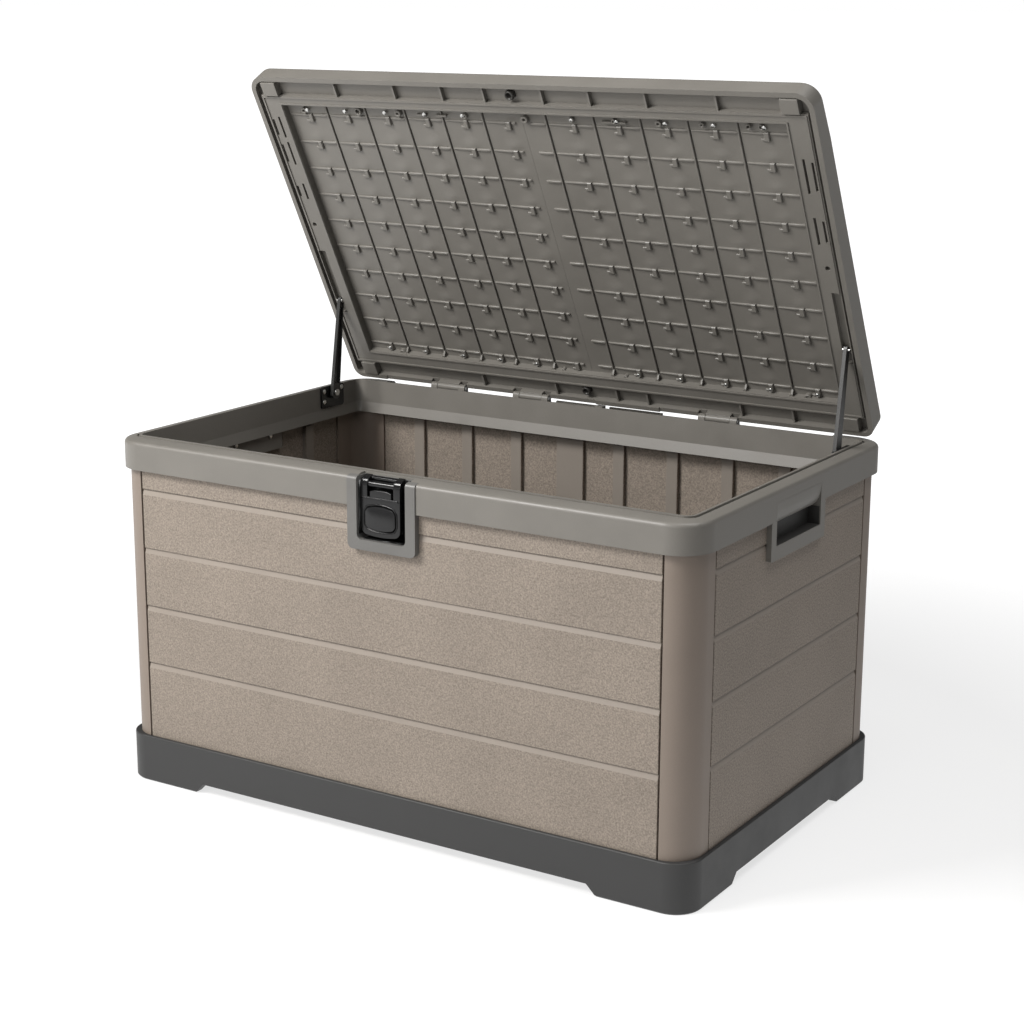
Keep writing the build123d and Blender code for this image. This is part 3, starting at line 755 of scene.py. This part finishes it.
# ---- camera, floor and light --------------------------------------------------------------
cam_data = bpy.data.cameras.new("camera")
cam_data.sensor_width = 36.0
cam_data.lens = 72.828
cam_data.clip_end = 400.0
camera = bpy.data.objects.new("camera", cam_data)
right = Vector((0.847118, 0.531394, 0.003320))
up = Vector((-0.131445, 0.203481, 0.970215))
back = Vector((0.514891, -0.822323, 0.242221))
turn = Matrix((right, up, back)).transposed()
camera.matrix_world = Matrix.Translation((1.66218, -2.61983, 1.20658)) @ turn.to_4x4()
scene.collection.objects.link(camera)
scene.camera = camera


def floor():
    """Pale floor with a soft glow that makes it even towards the horizon."""
    mesh = bpy.data.meshes.new("floor")
    r = 150.0
    mesh.from_pydata([(-r, -r, 0), (r, -r, 0), (r, r, 0), (-r, r, 0)], [], [(0, 1, 2, 3)])
    obj = bpy.data.objects.new("floor", mesh)
    scene.collection.objects.link(obj)
    s = Shader("floor_white", rough=0.9, specular=0.0)
    s.colour(s.ramp(s.noise(3), 0.3, 0.7, (0.30, 0.30, 0.30), (0.31, 0.31, 0.31)))
    reach = s.tree.nodes.new("ShaderNodeVectorMath")
    reach.operation = "LENGTH"
    s.link(s.coords, reach.inputs[0])
    glow = s.spread(reach.outputs["Value"], 0.9, 2.6, 0.70, 1.15)
    glow = s.times(glow, s.fade((0.952, 0.306, 0), 0.80, 1.5))
    glow = s.times(glow, s.fade((0.53, -0.848, 0), 0.86, 1.6))
    s.bsdf.inputs["Emission Color"].default_value = (1, 1, 1, 1)
    s.link(glow, s.bsdf.inputs["Emission Strength"])
    mesh.materials.append(s.done())
    s.mat.cycles.emission_sampling = "NONE"


floor()


def area_light(name, place, target, size, power, colour=(1, 1, 1)):
    """Soft rectangular light that faces its target."""
    data = bpy.data.lights.new(name, "AREA")
    data.shape = "RECTANGLE"
    data.size, data.size_y = size
    data.energy = power
    data.color = colour
    obj = bpy.data.objects.new(name, data)
    obj.location = place
    aim = Vector(target) - Vector(place)
    obj.rotation_euler = aim.to_track_quat("-Z", "Y").to_euler()
    scene.collection.objects.link(obj)
    return obj


area_light("key", (-1.15, -1.9, 2.35), (0, 0, 0.55), (1.0, 1.0), 100, (1.0, 0.985, 0.965))
area_light("front", (-0.4, -3.2, 1.5), (0, 0, 0.7), (1.8, 1.4), 36, (1.0, 0.99, 0.97))
area_light("top", (1.15, -0.2, 3.0), (0.1, 0, 0.55), (1.6, 1.6), 44)

world = bpy.data.worlds.new("studio")
world.use_nodes = True
scene.world = world
wt = world.node_tree
background = wt.nodes["Background"]
direction = wt.nodes.new("ShaderNodeTexCoord").outputs["Generated"]
split = wt.nodes.new("ShaderNodeSeparateXYZ")
wt.links.new(direction, split.inputs["Vector"])
sky = wt.nodes.new("ShaderNodeValToRGB")
sky.color_ramp.elements[0].position = 0.03
sky.color_ramp.elements[0].color = (1, 1, 1, 1)
sky.color_ramp.elements[1].position = 0.14
sky.color_ramp.elements[1].color = (0.07, 0.07, 0.07, 1)
wt.links.new(split.outputs["Z"], sky.inputs["Fac"])
wt.links.new(sky.outputs["Color"], background.inputs["Color"])
background.inputs["Strength"].default_value = 1.0

scene.view_settings.view_transform = "Standard"
scene.view_settings.look = "None"
